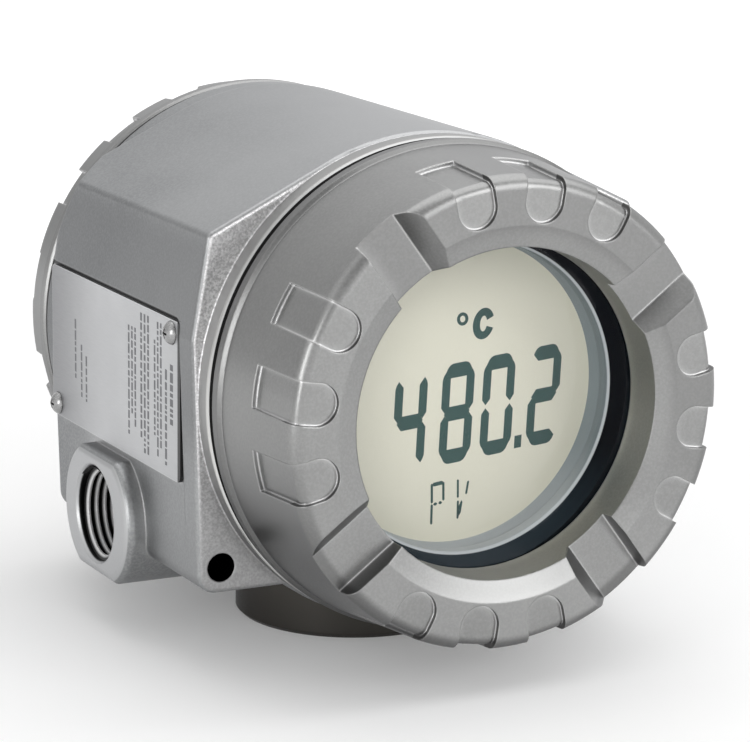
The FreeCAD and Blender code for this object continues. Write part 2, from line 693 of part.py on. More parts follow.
def terminal_block():
    """Moulded base with two raised rows of wells, a wire hole below each well and a cap over the pins."""
    width, height = TERMINAL_BASE
    base = block(about(0, width), (PARTITION_REAR, TERMINAL_BASE_BACK), about(TERMINAL_BASE_Z, height))
    corners = [edge for edge in base.Edges if near(edge.Length, TERMINAL_BASE_THICK)]
    base = base.makeFillet(TERMINAL_CORNER, corners)
    cap = rod(TERMINAL_CAP_R, 0, FEED_Z, PARTITION_REAR, PARTITION_REAR + TERMINAL_CAP)
    raised = (TERMINAL_BASE_BACK, TERMINAL_BACK)
    rows = [block(about(0, TERMINAL_ROW_WIDTH), raised, about(z, TERMINAL_ROW_DEPTH)) for z in TERMINAL_ROWS]
    solid = joined([base, cap] + rows)
    cuts = [rod(FEED_R + SCREW_ROOM, 0, FEED_Z, PARTITION_REAR, PINS_BACK + TERMINAL_CAP_ROOM)]
    well_floor = TERMINAL_BACK - WELL_DEPTH
    wire_y = TERMINAL_BACK - WELL_DEPTH / 2
    for x, z in terminal_places():
        cuts.append(block(about(x, WELL_WIDTH), (well_floor, TERMINAL_BACK), about(z, WELL_WIDTH)))
        cuts.append(rod(TERMINAL_SCREW_R + THREAD_ROOM, x, z, TERMINAL_BASE_BACK, TERMINAL_BACK))
        wire_top = Vector(x, wire_y, z)
        cuts.append(Part.makeCylinder(WIRE_HOLE_R, TERMINAL_ROW_DEPTH / 2, wire_top, Vector(0, 0, -1)))
    for x, z in block_screw_places():
        cuts.append(rod(BLOCK_SCREW_R + SCREW_ROOM, x, z, PARTITION_REAR, TERMINAL_BASE_BACK))
    return solid.cut(cuts)


def terminal_clamps():
    width, thick, height = CLAMP_SIZE
    y = (TERMINAL_CLAMP_BACK - thick, TERMINAL_CLAMP_BACK)
    clamps = []
    for x, z in terminal_places():
        plate = block(about(x, width), y, about(z, height))
        clamps.append(plate.cut(rod(TERMINAL_SCREW_R + THREAD_ROOM, x, z, y[0], y[1])))
    return Part.makeCompound(clamps)


def terminal_screws():
    one = screw(TERMINAL_SCREW_R, TERMINAL_HEAD_R, TERMINAL_HEAD, TERMINAL_CLAMP_BACK, TERMINAL_SHANK, -1)
    return Part.makeCompound([at(one, x, z) for x, z in terminal_places()])


def terminal_block_screws():
    length = TERMINAL_BASE_THICK + BLOCK_SCREW_BITE
    one = screw(BLOCK_SCREW_R, BLOCK_HEAD_R, BLOCK_HEAD, TERMINAL_BASE_BACK, length, -1)
    return Part.makeCompound([at(one, x, z) for x, z in block_screw_places()])


def earth_clamp():
    width, thick, height = EARTH_CLAMP
    y = (PARTITION_REAR, PARTITION_REAR + thick)
    plate = block(about(EARTH_X, width), y, about(EARTH_Z, height))
    return plate.cut(rod(EARTH_SCREW_R + SCREW_ROOM, EARTH_X, EARTH_Z, y[0], y[1]))


def earth_screw():
    thick = EARTH_CLAMP[1]
    one = screw(EARTH_SCREW_R, EARTH_HEAD_R, EARTH_HEAD, PARTITION_REAR + thick, thick + EARTH_BITE, -1)
    return at(one, EARTH_X, EARTH_Z)


def nameplate():
    front = POCKET_X - PLATE_THICK
    plate = block((front, POCKET_X), PLATE_Y, PLATE_Z)
    corners = [edge for edge in plate.Edges if near(edge.Length, PLATE_THICK)]
    plate = plate.makeFillet(PLATE_CORNER, corners)
    return plate.cut([peg(DRIVE_SHANK_R, y, z, front, POCKET_X) for y, z in DRIVE_SCREWS])


def nameplate_screws():
    """Domed drive screws through the plate into the flat."""
    bulge = (DRIVE_HEAD_R ** 2 + DRIVE_HEAD_HEIGHT ** 2) / (2 * DRIVE_HEAD_HEIGHT)
    seat = POCKET_X - PLATE_THICK
    top = seat - DRIVE_HEAD_HEIGHT
    screws = []
    for y, z in DRIVE_SCREWS:
        head = Part.makeSphere(bulge, Vector(top + bulge, y, z)).common(peg(DRIVE_HEAD_R, y, z, top, seat))
        shank = peg(DRIVE_SHANK_R, y, z, seat, POCKET_X + DRIVE_SHANK_LENGTH)
        screws.append(joined([head, shank]))
    return Part.makeCompound(screws)


PIECES = {
    "housing": housing(),
    "front_cover": front_cover(),
    "front_cover_o_ring": cover_o_ring(0, -1),
    "window_glass": window_glass(),
    "window_seal": window_seal(),
    "window_retainer": window_retainer(),
    "rear_cover": rear_cover(),
    "rear_cover_o_ring": cover_o_ring(REAR_JOINT, 1),
    "display_bezel": display_bezel(),
    "lcd_panel": lcd_panel(),
    "display_contact_frame": display_contact_frame(),
    "display_board": display_board(),
    "display_case": display_case(),
    "display_plug": display_plug(),
    "board_socket": board_socket(),
    "electronics_carrier": electronics_carrier(),
    "main_board": main_board(),
    "potted_electronics": potted_electronics(),
    "module_screws": module_screws(),
    "lock_switch_body": lock_switch_body(),
    "lock_switch_slider": lock_switch_slider(),
    "feedthrough": feedthrough(),
    "feedthrough_pins": feedthrough_pins(),
    "terminal_block": terminal_block(),
    "terminal_clamps": terminal_clamps(),
    "terminal_screws": terminal_screws(),
    "terminal_block_screws": terminal_block_screws(),
    "earth_clamp": earth_clamp(),
    "earth_screw": earth_screw(),
    "nameplate": nameplate(),
    "nameplate_screws": nameplate_screws(),
}

os.makedirs("parts", exist_ok=True)
for name, shape in PIECES.items():
    shape.translated(Vector(0, -BOSS_Y, BOSS_DROP)).exportStep(f"parts/{name}.step")
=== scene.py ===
"""Looks of a field temperature transmitter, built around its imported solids.

The frame is in metres with the display facing -Y. Lengths below are in millimetres and are scaled by MM,
apart from those of the studio, which are in metres.
"""
import json
import math
import random

import bmesh
import bpy
from mathutils import Matrix, Vector

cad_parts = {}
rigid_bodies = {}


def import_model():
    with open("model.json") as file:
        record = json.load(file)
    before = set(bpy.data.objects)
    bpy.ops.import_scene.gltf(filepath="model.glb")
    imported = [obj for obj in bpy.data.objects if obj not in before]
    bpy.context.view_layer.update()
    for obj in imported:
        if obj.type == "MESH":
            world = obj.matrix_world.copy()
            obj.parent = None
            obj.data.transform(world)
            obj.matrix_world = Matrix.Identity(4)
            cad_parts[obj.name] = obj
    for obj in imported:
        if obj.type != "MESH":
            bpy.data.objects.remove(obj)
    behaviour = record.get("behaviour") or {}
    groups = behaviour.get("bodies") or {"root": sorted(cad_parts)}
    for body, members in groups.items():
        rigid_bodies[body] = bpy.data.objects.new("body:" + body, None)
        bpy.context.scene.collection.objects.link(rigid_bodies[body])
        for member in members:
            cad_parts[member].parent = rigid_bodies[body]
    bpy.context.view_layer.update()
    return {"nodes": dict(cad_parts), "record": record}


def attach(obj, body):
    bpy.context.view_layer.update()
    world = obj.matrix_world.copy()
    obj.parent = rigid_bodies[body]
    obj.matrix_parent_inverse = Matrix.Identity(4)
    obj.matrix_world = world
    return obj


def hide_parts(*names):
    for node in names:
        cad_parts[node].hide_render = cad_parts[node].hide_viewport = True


for leftover in list(bpy.data.objects):
    bpy.data.objects.remove(leftover)
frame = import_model()

MM = 0.001


def named(rows, name):
    """The joint or mount of that name in the record."""
    return next(row for row in rows if row["name"] == name)


def place_of(row):
    """Where a joint or mount lies, in millimetres."""
    return [metres / MM for metres in row["pos_m"]]


def box(node):
    """Lowest and highest corner of a solid's box, in millimetres."""
    solid = frame["nodes"][node]
    points = [solid.matrix_world @ vertex.co / MM for vertex in solid.data.vertices]
    return [[round(limit(point[axis] for point in points), 4) for axis in range(3)] for limit in (min, max)]


# Places on the solids that the frame gives
JOINTS = frame["record"]["behaviour"]["joints"]
MOUNTS = frame["record"]["mounts"]
FRONT_JOINT_Y, AXIS_Z = place_of(named(JOINTS, "front_cover_turn"))[1:]
REAR_JOINT_Y = place_of(named(JOINTS, "rear_cover_turn"))[1]
LEFT_ENTRY = named(MOUNTS, "left_entry")
ENTRY_R = LEFT_ENTRY["dims"]["r_mm"]
SIDE_ENTRY_Y, SIDE_ENTRY_Z = place_of(LEFT_ENTRY)[1:]
SIDE_ENTRY_X = box("housing")[1][0]
CORNER_HOLE = named(MOUNTS, "corner_hole")
CORNER_HOLE_R = CORNER_HOLE["dims"]["r_mm"]
CORNER_HOLE_X, _, CORNER_HOLE_Z = place_of(CORNER_HOLE)
COVER_BOX = box("front_cover")
FRONT_LAND_Y = COVER_BOX[0][1]
FLANGE_R = COVER_BOX[1][0]
SKIRT_LENGTH = COVER_BOX[1][1] - FRONT_JOINT_Y
LCD_Y = box("lcd_panel")[0][1]
PLATE_BOX = box("nameplate")
PLATE_X = PLATE_BOX[0][0]
PLATE_Y, PLATE_Z = list(zip(*PLATE_BOX))[1:]

# Other places and measures on the solids
WEB_Y = FRONT_JOINT_Y + 5.9
FLANGE_Y = (FRONT_JOINT_Y + 1.6, FRONT_JOINT_Y + 5.6)
FLANGE_LIP_Y = (FRONT_JOINT_Y + 1.2, FRONT_JOINT_Y + 2.1)
COVER_RIM_Y = (FRONT_JOINT_Y - 4.0, FRONT_JOINT_Y)
CHANNEL_DEPTH = 4.4
GRIP_R = (37.9, 44.4)
SKIRT_R = 44.7
BOSS_R = 25.0
BOSS_TOP_Z = 15.0
SIDE_BORE_X = 38.0
DRIVE_SCREWS = ((PLATE_Y[0] + 4.4, PLATE_Z[1] - 2.8), (PLATE_Y[1] - 3.0, PLATE_Z[0] + 2.6))
DRIVE_HEAD_R = 2.5
DRIVE_HEAD_HEIGHT = 1.7

# The pane, which reaches a little into its seal and its retainer
GLASS_BOX = box("window_glass")
GLASS_R = GLASS_BOX[1][0] + 0.1
GLASS_Y = (GLASS_BOX[0][1] - 0.05, GLASS_BOX[1][1] + 0.05)
GLASS_EDGE = 0.4

# Zones of tint. A pair is the range in which a tint holds, or in which it comes or goes.
MARGIN = 0.1
GAP_HALF = 0.36
GAP_IN_HOUSING = 1.15
GAP_SOFT = 0.05
REAR_GAP_SHADE = 0.65
TOP_Z = (88, 106)
TOP_Y = (-30, 45)
FLANK_Z = (55, 85)
FLANK_X = (49, 53)
SHADED_Z = (20, 60)
WEB_FACE_Y = (WEB_Y - 0.3, WEB_Y + 0.05)
FLANGE_SIDE_R = (FLANGE_R - 1, FLANGE_R + 0.2)
COVER_RIM_R = (FLANGE_R - 1.2, FLANGE_R + 0.2)
ENTRY_FACE_X = (SIDE_ENTRY_X - 0.4, SIDE_ENTRY_X)
GROOVE_WIDTH = 0.45
LIP_Z = (30, 90)
CHANNEL_FLOOR_Y = (FRONT_LAND_Y + CHANNEL_DEPTH - MARGIN, FRONT_LAND_Y + CHANNEL_DEPTH + MARGIN)
CHANNEL_Z = (45, 70)
UNDER_R = (46.5, 52)
UNDER_Z = (26, 60)
LAND_Y = (FRONT_LAND_Y - 0.5, FRONT_LAND_Y + 0.8)
LAND_SLOPE = 0.9
LAND_HIGH = (62, 94)
LAND_LOW_Z = (10, 50)
THREAD_ROOT_R = (ENTRY_R - 0.8, ENTRY_R - 0.3)
PLATE_DIM_Y = (12, 46)
PLATE_END_Y = (PLATE_Y[0] + 1.0, PLATE_Y[0] + 1.6)
RETAINER_CEMENT_Y = (GLASS_Y[1] - 0.05, GLASS_Y[1] + 0.12)
RETAINER_LIP_Y = (GLASS_Y[1] + 0.35, GLASS_Y[1] + 0.55)
POOL_Z = (26, 48)
LCD_RIM_R = (25, 32)

# Colours and ranges that finishes share
# Painted shade: black for bores, holes and joint gaps.
PAINTED_SHADE_BLACK = (0.012, 0.012, 0.012)
# Machined grey, also used as painted light on the housing's upper part.
MACHINED_AND_PAINTED_LIGHT = (0.5, 0.505, 0.51)
NOISE_RANGE = (0.3, 0.7)

# Camera, fitted to the circles of the photograph
TARGET = (-14.29, -38.5, 61.43)
AZIMUTH = -26.97
ELEVATION = 12.73
ROLL = 0.7
DISTANCE = 679.7
LENS = 161.6
SENSOR = 36.0

# Studio, in metres: dark patches by direction, spread and level, lamps by place, size, power and reflection
DARK_PATCHES = (((-0.3, -0.63, 0.71), (0.78, 0.98), 0.55), ((-0.62, 0.78, 0.0), (0.6, 0.95), 0.7))
FLOOR_HALF = 4.0
FLOOR_Z = -0.05 * MM
FLOOR_LIFT = (0.12, 0.4)
FLOOR_LIFT_SPREAD = (0.15, 0.9)
WORLD_FILL = 0.6
LAMPS_AIM = (0, 0, 0.05)
SOFTBOXES = {
    "overhead": ((0.35, 0.15, 1.1), (1.6, 1.4), 6.5, True),
    "key": ((0.62, -1.19, 0.5), (0.7, 0.7), 4.0, True),
    "left_strip": ((-1.1, -0.55, 0.25), (0.35, 0.6), 2.6, True),
    "front_fill": ((-0.57, -1.13, 0.36), (0.6, 0.6), 4.5, False),
}


def grey(level):
    """A neutral colour."""
    return (level, level, level)


class Nodes:
    """A node tree under construction, with short names for the nodes that are needed most."""

    def __init__(self, tree):
        self.nodes = tree.nodes
        self.links = tree.links

    def feed(self, socket, value):
        """Sets an input, or links it where the value is another node's output."""
        if isinstance(value, bpy.types.NodeSocket):
            self.links.new(value, socket)
        else:
            socket.default_value = value

    def span(self, value, low, high, to_low=0.0, to_high=1.0):
        """Smooth step of a value from one range to another."""
        node = self.nodes.new("ShaderNodeMapRange")
        node.interpolation_type = "SMOOTHSTEP"
        for socket, number in zip(node.inputs, (value, low, high, to_low, to_high)):
            self.feed(socket, number)
        return node.outputs["Result"]

    def vectors(self, operation, first, second):
        """Node that combines two vectors."""
        node = self.nodes.new("ShaderNodeVectorMath")
        node.operation = operation
        self.feed(node.inputs[0], first)
        self.feed(node.inputs[1], second)
        return node

    def along(self, direction, vector):
        """How far a vector reaches along a direction."""
        return self.vectors("DOT_PRODUCT", vector, direction).outputs["Value"]

    def compute(self, operation, first, second=0.0):
        """Number worked out from one or two numbers."""
        node = self.nodes.new("ShaderNodeMath")
        node.operation = operation
        self.feed(node.inputs[0], first)
        self.feed(node.inputs[1], second)
        return node.outputs[0]

    def product(self, first, *others):
        """Factors multiplied in the order given."""
        for other in others:
            first = self.compute("MULTIPLY", first, other)
        return first


class Finish(Nodes):
    """A procedural material under construction. Its textures lie in the frame's coordinates."""

    def __init__(self, name):
        self.material = bpy.data.materials.new(name)
        self.material.use_nodes = True
        super().__init__(self.material.node_tree)
        self.shader = self.nodes["Principled BSDF"]
        self.place = self.nodes.new("ShaderNodeTexCoord").outputs["Object"]
        self.axes = None

    def set(self, **values):
        """Inputs of the shader, with spaces written as underscores."""
        for name, value in values.items():
            self.feed(self.shader.inputs[name.replace("_", " ")], value)

    def fed(self, name):
        """What an input of the shader is linked to."""
        return self.shader.inputs[name].links[0].from_socket

    def axis(self, name):
        """The place along X, Y or Z."""
        if self.axes is None:
            split = self.nodes.new("ShaderNodeSeparateXYZ")
            self.links.new(self.place, split.inputs[0])
            self.axes = split.outputs
        return self.axes[name]

    def noise(self, size, detail=2.0, roughness=0.5, stretch=(1, 1, 1)):
        """Noise whose features are about size millimetres, longer along the axes with a stretch above 1."""
        mapping = self.nodes.new("ShaderNodeMapping")
        self.links.new(self.place, mapping.inputs["Vector"])
        mapping.inputs["Scale"].default_value = [1 / (size * MM * s) for s in stretch]
        texture = self.nodes.new("ShaderNodeTexNoise")
        self.links.new(mapping.outputs[0], texture.inputs["Vector"])
        texture.inputs["Scale"].default_value = 1.0
        texture.inputs["Detail"].default_value = detail
        texture.inputs["Roughness"].default_value = roughness
        return texture.outputs["Fac"]

    def spread(self, noise, to_low=0.0, to_high=1.0):
        """Noise stretched over a range."""
        return self.span(noise, *NOISE_RANGE, to_low, to_high)

    def ramp(self, length, ends, to_low=0.0, to_high=1.0):
        """Smooth step of a length between two ends in millimetres."""
        return self.span(length, ends[0] * MM, ends[1] * MM, to_low, to_high)

    def within(self, length, low, high, soft=0.2):
        """1 where a length lies between two values in millimetres, and 0 elsewhere."""
        rising = self.ramp(length, (low - soft, low))
        falling = self.ramp(length, (high, high + soft), 1.0, 0.0)
        return self.product(rising, falling)

    def from_line(self, x=None, y=None, z=None):
        """Distance from a line along the axis that is left out, through a place on the other two."""
        kept = [0 if value is None else 1 for value in (x, y, z)]
        flat = self.vectors("MULTIPLY", self.place, kept).outputs[0]
        return self.vectors("DISTANCE", flat, [(value or 0) * MM for value in (x, y, z)]).outputs["Value"]

    def blend(self, factor, first, second):
        """Colour between two colours."""
        node = self.nodes.new("ShaderNodeMix")
        node.data_type = "RGBA"
        self.feed(node.inputs[0], factor)
        for socket, colour in zip(node.inputs[6:8], (first, second)):
            self.feed(socket, colour if isinstance(colour, bpy.types.NodeSocket) else (*colour, 1))
        return node.outputs[2]

    def near(self, reach, inside):
        """Share of what lies within reach millimetres that is blocked.

        Outside, that grows in hollows. Inside, where only the piece itself counts, it grows at edges.
        """
        node = self.nodes.new("ShaderNodeAmbientOcclusion")
        node.samples = 6
        node.inside = inside
        node.only_local = inside
        node.inputs["Distance"].default_value = reach * MM
        return self.compute("SUBTRACT", 1.0, node.outputs["AO"])

    def bump(self, height, depth, normal=None):
        """Normal of a surface whose height map stands up to depth millimetres."""
        node = self.nodes.new("ShaderNodeBump")
        node.inputs["Strength"].default_value = 1.0
        node.inputs["Distance"].default_value = depth * MM
        self.feed(node.inputs["Height"], height)
        if normal is not None:
            self.links.new(normal, node.inputs["Normal"])
        return node.outputs[0]

    def rounded(self, radius):
        """Normal that rounds every edge in the shading."""
        node = self.nodes.new("ShaderNodeBevel")
        node.samples = 6
        node.inputs["Radius"].default_value = radius * MM
        return node.outputs[0]


def blasted_steel(name, dark, light, rough, edge_wear_and_highlight, flecked, fade=0.0):
    """Bead-blasted stainless steel: fine grain, faint clouds, painted light in hollows, and edges painted
    bright, partly as wear and partly as a painted highlight.

    A fade paints shade that makes it darker towards the rear.
    """
    finish = Finish(name)
    tone = finish.span(finish.noise(30), 0.0, 1.0, *NOISE_RANGE)
    # Painted shade: darker towards the rear.
    if fade:
        tone = finish.compute("SUBTRACT", tone, finish.product(finish.axis("Y"), fade))
    grain = finish.noise(0.26, roughness=0.6)
    fleck = finish.noise(0.55, 3, 0.6)
    tint = finish.blend(finish.span(tone, 0.2, 0.8), dark, light)
    tint = finish.blend(finish.span(fleck, 0.35, 0.7, 0.0, flecked), tint, [c * 1.5 for c in light])
    # Painted light: hollows are painted paler.
    painted_hollow_tone = finish.span(finish.near(5.0, False), 0.12, 0.6, 0.0, 0.75)
    tint = finish.blend(painted_hollow_tone, tint, grey(0.55))
    # Edges painted paler: partly wear, partly a painted highlight.
    edge = finish.span(finish.near(0.45, True), 0.2, 0.55, 0.0, edge_wear_and_highlight)
    tint = finish.blend(edge, tint, (0.75, 0.75, 0.74))
    height = finish.compute("ADD", grain, fleck)
    finish.set(Base_Color=tint, Metallic=1.0, Roughness=finish.spread(fleck, rough - 0.03, rough + 0.04),
               Specular_Tint=(0.8, 0.8, 0.81, 1), Normal=finish.bump(height, 0.009, finish.rounded(0.5)))
    return finish


def in_joint_gaps(finish, inward):
    """1 in the narrow gaps between the covers' rims and the flanges, as far inward as is asked for, where
    black is painted as shade.
    """
    y = finish.axis("Y")
    front = finish.within(y, FRONT_JOINT_Y - GAP_HALF, FRONT_JOINT_Y + inward, GAP_SOFT)
    rear = finish.within(y, REAR_JOINT_Y - inward, REAR_JOINT_Y + GAP_HALF, GAP_SOFT)
    return finish.compute("MAXIMUM", front, finish.product(rear, REAR_GAP_SHADE))


def housing_finish():
    """The casting: coarse in the front web, machined at the entry faces, with painted light and shade in
    zones, and painted shade on the bottom boss, in the bores and in the joint gaps.
    """
    finish = blasted_steel("cast_stainless", dark=(0.223, 0.228, 0.232), light=(0.323, 0.328, 0.331),
                           rough=0.35, edge_wear_and_highlight=0.2, flecked=0.4, fade=4.0)
    tint = finish.fed("Base Color")
    x, y, z = (finish.axis(name) for name in "XYZ")
    out = finish.compute("ABSOLUTE", x)

    # Painted light: the upper part is paler, most at the front.
    painted_top_light = finish.product(finish.ramp(z, TOP_Z, 0.0, 0.34), finish.ramp(y, TOP_Y, 1.0, 0.35))
    tint = finish.blend(painted_top_light, tint, MACHINED_AND_PAINTED_LIGHT)
    # Painted shade on the side flats.
    painted_flank_shade = finish.product(finish.within(z, *FLANK_Z, soft=14), finish.within(out, *FLANK_X, soft=1), 0.4)
    tint = finish.blend(painted_flank_shade, tint, (0.13, 0.133, 0.136))

    web = finish.within(y, *WEB_FACE_Y, soft=0.15)
    sparkle = finish.noise(0.45)
    # The web's coarse grain, painted paler as light and darker low as painted shade; its edges are held
    # darker.
    coarse = finish.blend(finish.span(sparkle, 0.32, 0.7), (0.6, 0.595, 0.6), (0.96, 0.955, 0.96))
    coarse = finish.blend(finish.ramp(z, SHADED_Z, 0.75, 0.0), coarse, grey(0.25))
    brink = finish.span(finish.near(0.7, True), 0.01, 0.1, 0.0, 0.8)
    coarse = finish.blend(brink, coarse, grey(0.42))
    tint = finish.blend(web, tint, coarse)
    normal = finish.bump(finish.product(sparkle, web), 0.03, finish.fed("Normal"))

    on_flange = finish.within(finish.from_line(x=0, z=AXIS_Z), *FLANGE_SIDE_R)
    flange = finish.product(finish.within(y, *FLANGE_Y), on_flange)
    # Painted light and shade: the flange's side is darker low and paler high.
    flange_painted_light_and_shade = finish.blend(finish.ramp(z, SHADED_Z), (0.24, 0.24, 0.237), (0.37, 0.37, 0.365))
    tint = finish.blend(flange, tint, flange_painted_light_and_shade)
    # Painted highlight along the flange's front edge.
    painted_lip_highlight = finish.product(finish.within(y, *FLANGE_LIP_Y, soft=0.1), on_flange,
                         finish.ramp(z, LIP_Z, 0.8, 0.2))
    tint = finish.blend(painted_lip_highlight, tint, (0.85, 0.85, 0.83))

    tint = finish.blend(finish.within(out, *ENTRY_FACE_X), tint, MACHINED_AND_PAINTED_LIGHT)
    # Painted shadow in the pocket's groove above the nameplate.
    painted_groove_shadow = finish.product(finish.within(x, PLATE_X - MARGIN, PLATE_X + 1, soft=0.05),
                            finish.within(z, PLATE_Z[1] - MARGIN, PLATE_Z[1] + GROOVE_WIDTH, soft=0.1),
                            finish.within(y, PLATE_Y[0] - 0.5, REAR_JOINT_Y, soft=0.1))
    tint = finish.blend(painted_groove_shadow, tint, grey(0.05))
    from_boss = finish.from_line(x=0, y=0)
    in_boss = finish.within(z, -1, BOSS_TOP_Z)
    # Painted shade: the bottom boss is painted near black.
    painted_boss_shade = finish.product(finish.within(from_boss, 0, BOSS_R + 0.5), in_boss)
    tint = finish.blend(painted_boss_shade, tint, (0.07, 0.066, 0.06))

    from_entry = finish.from_line(y=SIDE_ENTRY_Y, z=SIDE_ENTRY_Z)
    from_corner = finish.from_line(x=CORNER_HOLE_X, z=CORNER_HOLE_Z)
    in_side = finish.product(finish.within(from_entry, 0, ENTRY_R + MARGIN),
                             finish.within(out, SIDE_BORE_X, SIDE_ENTRY_X))
    in_bottom = finish.product(finish.within(from_boss, 0, ENTRY_R + MARGIN), in_boss)
    in_corner = finish.product(finish.within(from_corner, 0, CORNER_HOLE_R + MARGIN),
                               finish.within(y, WEB_Y + 0.3, 0))
    # Painted shade: bores, corner hole and joint gaps are painted black.
    for hole in (in_side, in_bottom, in_corner, in_joint_gaps(finish, GAP_IN_HOUSING)):
        tint = finish.blend(hole, tint, PAINTED_SHADE_BLACK)
    finish.set(Base_Color=tint, Normal=normal)
    return finish.material


def cover_finish():
    """The covers' steel: upright walls of the grip painted dark as shade, their feet painted bright as a
    highlight, and the land painted darker high and lighter low.
    """
    finish = blasted_steel("cover_stainless", dark=(0.251, 0.252, 0.25), light=(0.3, 0.301, 0.298),
                           rough=0.31, edge_wear_and_highlight=0.35, flecked=0.2)
    tint = finish.fed("Base Color")
    x, y, z = (finish.axis(name) for name in "XYZ")
    from_axis = finish.from_line(x=0, z=AXIS_Z)
    facing = finish.nodes.new("ShaderNodeNewGeometry").outputs["True Normal"]
    tilt = finish.compute("ABSOLUTE", finish.along((0, 1, 0), facing))

    # Painted shade on the channels' floors.
    painted_channel_shade = finish.product(finish.within(y, *CHANNEL_FLOOR_Y), finish.ramp(z, CHANNEL_Z, 0.0, 0.3),
                             finish.span(tilt, 0.9, 0.98))
    tint = finish.blend(painted_channel_shade, tint, grey(0.13))
    # Painted highlight along the feet of the walls.
    foot = finish.span(finish.near(0.45, False), 0.07, 0.2, 0.0, 0.55)
    tint = finish.blend(foot, tint, grey(0.8))

    # Painted shade on the upright walls of the grip.
    upright = finish.product(finish.span(tilt, 0.12, 0.22, 1.0, 0.0),
                             finish.span(tilt, 0.02, 0.09, 0.8, 0.4))
    offset = finish.vectors("SUBTRACT", finish.place, (0, 0, AXIS_Z * MM)).outputs[0]
    outward = finish.compute("DIVIDE", finish.along(offset, facing), from_axis)
    crosswise = finish.span(finish.compute("ABSOLUTE", outward), 0.3, 0.6, 1.0, 0.0)
    grip = finish.compute("MAXIMUM", finish.within(from_axis, *GRIP_R), crosswise)
    grip = finish.product(grip, finish.within(y, FRONT_LAND_Y - MARGIN, FRONT_LAND_Y + CHANNEL_DEPTH))
    tint = finish.blend(finish.product(upright, grip), tint, (0.05, 0.049, 0.047))

    # Painted shade on the cover's lower side.
    under = finish.product(finish.within(from_axis, *UNDER_R, soft=1.5), finish.ramp(z, UNDER_Z, 0.52, 0.0))
    tint = finish.blend(under, tint, grey(0.08))
    # Painted shade on the cover's rim beside the joint.
    painted_rim_shade = finish.product(finish.within(y, *COVER_RIM_Y), finish.within(from_axis, *COVER_RIM_R), 0.4)
    tint = finish.blend(painted_rim_shade, tint, grey(0.1))
    land = finish.ramp(y, LAND_Y, 1.0, 0.0)
    rising = finish.compute("ADD", z, finish.product(x, LAND_SLOPE))
    # Painted shade high on the land and painted light low on it.
    tint = finish.blend(finish.product(land, finish.ramp(rising, LAND_HIGH, 0.0, 0.48)), tint, grey(0.13))
    tint = finish.blend(finish.product(land, finish.ramp(z, LAND_LOW_Z, 0.25, 0.0)), tint, grey(0.5))
    # Painted shade: the joint gaps are painted black.
    finish.set(Base_Color=finish.blend(in_joint_gaps(finish, GAP_HALF), tint, PAINTED_SHADE_BLACK))
    return finish.material


def thread_finish():
    """Cut thread in an entry: bright crests over roots painted dark as shade."""
    finish = Finish("cut_thread")
    side = finish.from_line(y=SIDE_ENTRY_Y, z=SIDE_ENTRY_Z)
    bottom = finish.from_line(x=0, y=0)
    marks = finish.noise(0.3, roughness=0.6)
    # Painted shade in the thread's roots.
    root = finish.ramp(finish.compute("MINIMUM", side, bottom), THREAD_ROOT_R)
    finish.set(Base_Color=finish.blend(root, grey(0.66), grey(0.006)), Metallic=0.6,
               Roughness=finish.spread(marks, 0.28, 0.36),
               Normal=finish.bump(marks, 0.002, finish.rounded(0.12)))
    return finish.material


def turned_metal(name, colour, rough):
    """Bright turned metal with fine tool marks round the axis."""
    finish = Finish(name)
    marks = finish.noise(0.25, roughness=0.6, stretch=(8, 1, 8))
    tint = finish.blend(finish.spread(finish.noise(6)), [c * 0.85 for c in colour], colour)
    finish.set(Base_Color=tint, Metallic=1.0, Roughness=finish.spread(marks, rough - 0.03, rough + 0.04),
               Normal=finish.bump(marks, 0.003, finish.rounded(0.2)))
    return finish.material


def screw_head_finish():
    """Plated screw head, with painted shade in its recess and round its foot."""
    finish = Finish("screw_head")
    marks = finish.noise(0.25, roughness=0.6)
    # Painted shade in the recess and round the foot.
    painted_hollow_tone = finish.span(finish.near(0.9, False), 0.12, 0.4)
    tint = finish.blend(finish.spread(marks), grey(0.33), grey(0.4))
    finish.set(Base_Color=finish.blend(painted_hollow_tone, tint, grey(0.04)), Metallic=1.0,
               Roughness=finish.spread(marks, 0.2, 0.28))
    return finish.material


def plate_finish():
    """Satin sheet with a fine grain along its length, with painted shade dimming it to the rear, edges
    painted paler as a highlight, and a painted shadow at its front end.
    """
    finish = Finish("satin_plate")
    y = finish.axis("Y")
    grain = finish.noise(0.12, roughness=0.6, stretch=(1, 30, 1))
    tint = finish.blend(finish.spread(finish.noise(20)), (0.515, 0.52, 0.53), (0.555, 0.56, 0.57))
    # Painted shade towards the rear.
    tint = finish.blend(finish.ramp(y, PLATE_DIM_Y), tint, (0.29, 0.292, 0.302))
    # Painted highlight along the edges.
    edge = finish.span(finish.near(0.35, True), 0.15, 0.6, 0.0, 0.6)
    tint = finish.blend(edge, tint, grey(0.75))
    # Painted shadow at the front end.
    tint = finish.blend(finish.ramp(y, PLATE_END_Y, 0.9, 0.0), tint, grey(0.02))
    finish.set(Base_Color=tint, Metallic=1.0, Roughness=finish.spread(grain, 0.36, 0.46),
               Normal=finish.bump(grain, 0.006))
    return finish.material


